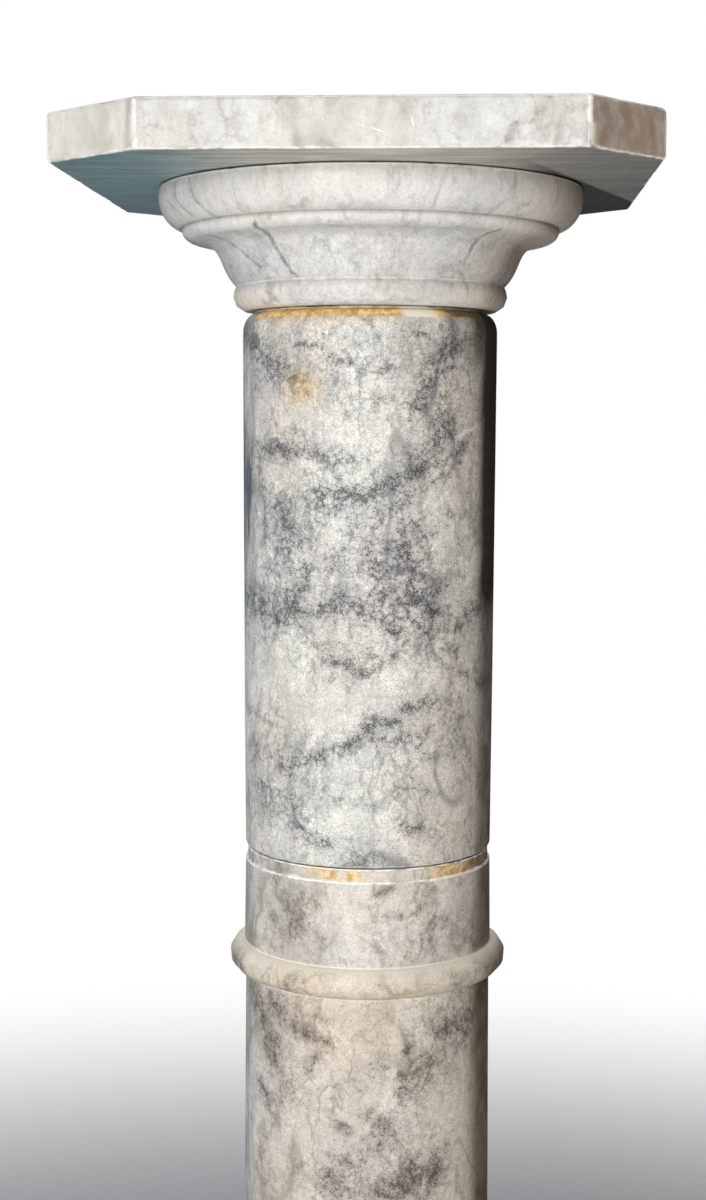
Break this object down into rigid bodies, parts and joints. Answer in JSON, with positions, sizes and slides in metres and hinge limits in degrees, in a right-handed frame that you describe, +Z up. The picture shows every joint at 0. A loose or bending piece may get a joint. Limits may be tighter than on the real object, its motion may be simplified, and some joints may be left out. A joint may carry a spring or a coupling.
{
  "type": "marble pedestal column",
  "caption": "Free-standing marble pedestal column with an octagonal top slab, a turned capital, a smooth shaft with a half-round ring and a plinth; it holds up a bust or a plant.",
  "frame": {"origin": "middle of the plinth's underside, on the shaft's axis", "axes": "+Z up along the shaft, the side that the picture shows faces -Y, +X to the right of it"},
  "size_m": [0.31, 0.31, 1],
  "materials": {
    "slab_marble": "worn polish, white with soft grey veins",
    "capital_marble": "worn polish, white with a few steep grey veins",
    "upper_drum_marble": "polished, grey white with dark speckled veins and honey stains at the joint",
    "collar_marble": "polished, beige grey and clouded, with a cream ring",
    "lower_drum_marble": "polished, pinkish beige with grey brown clouds",
    "base_marble": "worn polish, white with grey veins",
    "plinth_marble": "worn polish, white with grey veins"
  },
  "bodies": {
    "root": {"top_slab": "slab_marble", "capital": "capital_marble", "upper_drum": "upper_drum_marble", "collar": "collar_marble", "lower_drum": "lower_drum_marble", "base_moulding": "base_marble", "plinth": "plinth_marble"}
  },
  "joints": []
}
